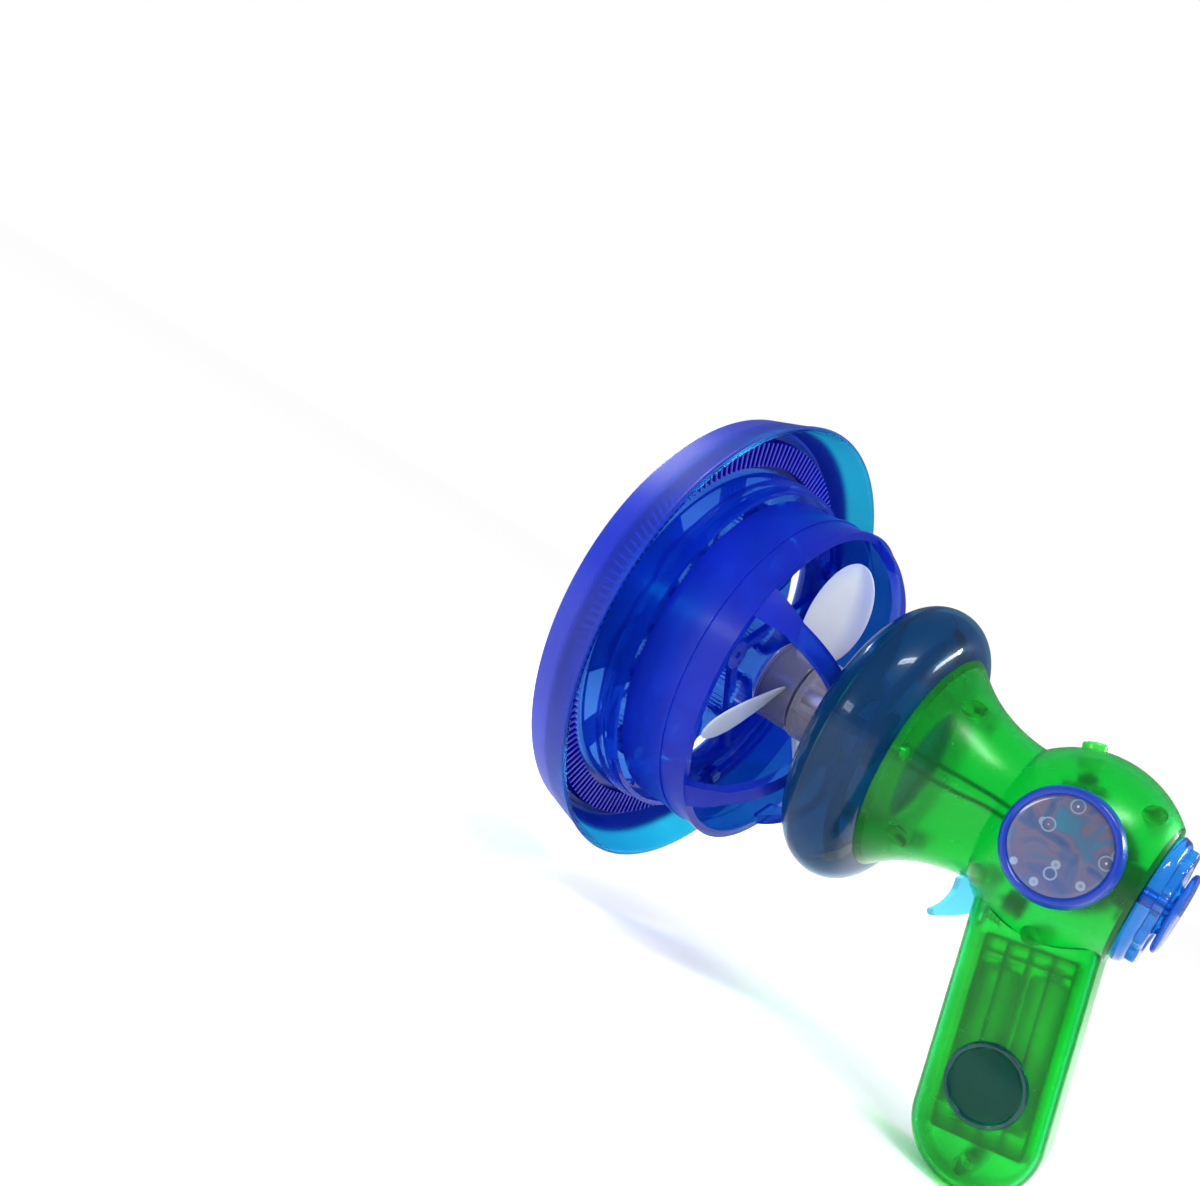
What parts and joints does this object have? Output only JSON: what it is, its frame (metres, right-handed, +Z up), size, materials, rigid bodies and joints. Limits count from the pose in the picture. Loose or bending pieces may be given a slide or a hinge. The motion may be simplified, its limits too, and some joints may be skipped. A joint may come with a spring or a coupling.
{
  "type": "bubble machine",
  "caption": "Hand-held battery bubble machine: a fan in a guard behind a toothed wand plate and wide rim, on a collar, horn and pistol grip with trigger, button and dial.",
  "frame": {"origin": "middle of the front face, where the rim's front edge and the wand plate's flat nose lie in one plane", "axes": "+X is the way the bubbles leave, along the barrel; +Y is the toy's left; +Z is up"},
  "size_m": [0.2143, 0.19, 0.2084],
  "materials": {
    "rim_blue": "clear ultramarine plastic, glossy",
    "comb_blue": "clear deep blue plastic",
    "plate_blue": "clear blue plastic",
    "drum_blue": "clear blue plastic",
    "guard_blue": "clear blue plastic, glossy",
    "screw_steel": "zinc-plated steel",
    "fan_white": "white moulded plastic",
    "motor_grey": "smoky clear plastic",
    "shaft_steel": "ground steel",
    "motor_steel": "drawn steel can",
    "end_cap_black": "black moulded plastic",
    "collar_teal": "smoky clear teal plastic",
    "lens_teal": "clear teal plastic",
    "board_green": "solder-masked board",
    "light_clear": "clear lamp",
    "body_green": "clear green plastic, satin",
    "badge_blue": "glossy blue plastic",
    "badge_picture": "printed picture film",
    "window_blue": "glossy blue plastic",
    "trigger_blue": "sky-blue plastic",
    "spring_steel": "nickel-plated spring wire",
    "button_green": "green plastic",
    "dial_blue": "clear blue plastic",
    "dial_cap_blue": "blue plastic",
    "bay_green": "clear green plastic",
    "cell_wrap": "plastic cell sleeve",
    "lead_red": "insulated wire"
  },
  "bodies": {
    "toy": {"badge_bezel_left": "badge_blue", "badge_bezel_right": "badge_blue", "badge_disc_left": "badge_picture", "badge_disc_right": "badge_picture", "battery_bay": "bay_green", "battery_cell_1": "cell_wrap", "battery_cell_2": "cell_wrap", "board_parts": "end_cap_black", "body_screws": "screw_steel", "button_board": "board_green", "button_switch": "end_cap_black", "circuit_board": "board_green", "collar_back_shell": "collar_teal", "collar_front_shell": "collar_teal", "collar_lenses": "lens_teal", "collar_screws": "screw_steel", "comb_ring": "comb_blue", "contact_plates": "spring_steel", "contact_springs": "spring_steel", "cross_brace": "drum_blue", "fan_guard": "guard_blue", "handle_window_lens": "lens_teal", "handle_window_ring": "window_blue", "head_drum": "drum_blue", "head_screws": "screw_steel", "left_shell": "body_green", "light_board": "board_green", "lights": "light_clear", "motor_can": "motor_steel", "motor_end_cap": "end_cap_black", "motor_housing": "motor_grey", "motor_leads": "lead_red", "motor_screws": "screw_steel", "outer_rim": "rim_blue", "right_shell": "body_green", "speed_control": "end_cap_black", "trigger_pin": "shaft_steel", "trigger_spring": "spring_steel", "trigger_switch": "end_cap_black", "wand_plate": "plate_blue"},
    "fan": {"fan_blades": "fan_white", "fan_nose_cap": "motor_grey", "motor_shaft": "shaft_steel"},
    "trigger": {"trigger": "trigger_blue"},
    "mode_button": {"mode_button": "button_green"},
    "rear_dial": {"rear_dial": "dial_blue", "dial_cap": "dial_cap_blue", "dial_shaft": "shaft_steel"},
    "battery_door": {"battery_door": "body_green", "battery_door_screw": "screw_steel"}
  },
  "joints": [
    {"name": "fan_spin", "type": "hinge", "parent": "toy", "child": "fan", "pos_m": [-0.0524, 0, 0], "axis": [1, 0, 0], "continuous": true},
    {"name": "trigger_pull", "type": "hinge", "parent": "toy", "child": "trigger", "pos_m": [-0.15249, 0, -0.0215], "axis": [0, 1, 0], "range_deg": [0, 14], "stiffness_Nm_per_rad": 0.12, "springref_deg": -4.58, "deforming": ["trigger_spring"]},
    {"name": "mode_button_press", "type": "slide", "parent": "toy", "child": "mode_button", "axis": [-0.3256, 0, -0.9455], "range_m": [0, 0.0012], "stiffness_N_per_m": 900, "springref_m": -0.0004},
    {"name": "rear_dial_turn", "type": "hinge", "parent": "toy", "child": "rear_dial", "pos_m": [-0.1983, 0, 0], "axis": [1, 0, 0], "range_deg": [-135, 135]},
    {"name": "battery_door_lift", "type": "slide", "parent": "toy", "child": "battery_door", "axis": [0, -1, 0], "range_m": [0, 0.03]}
  ]
}
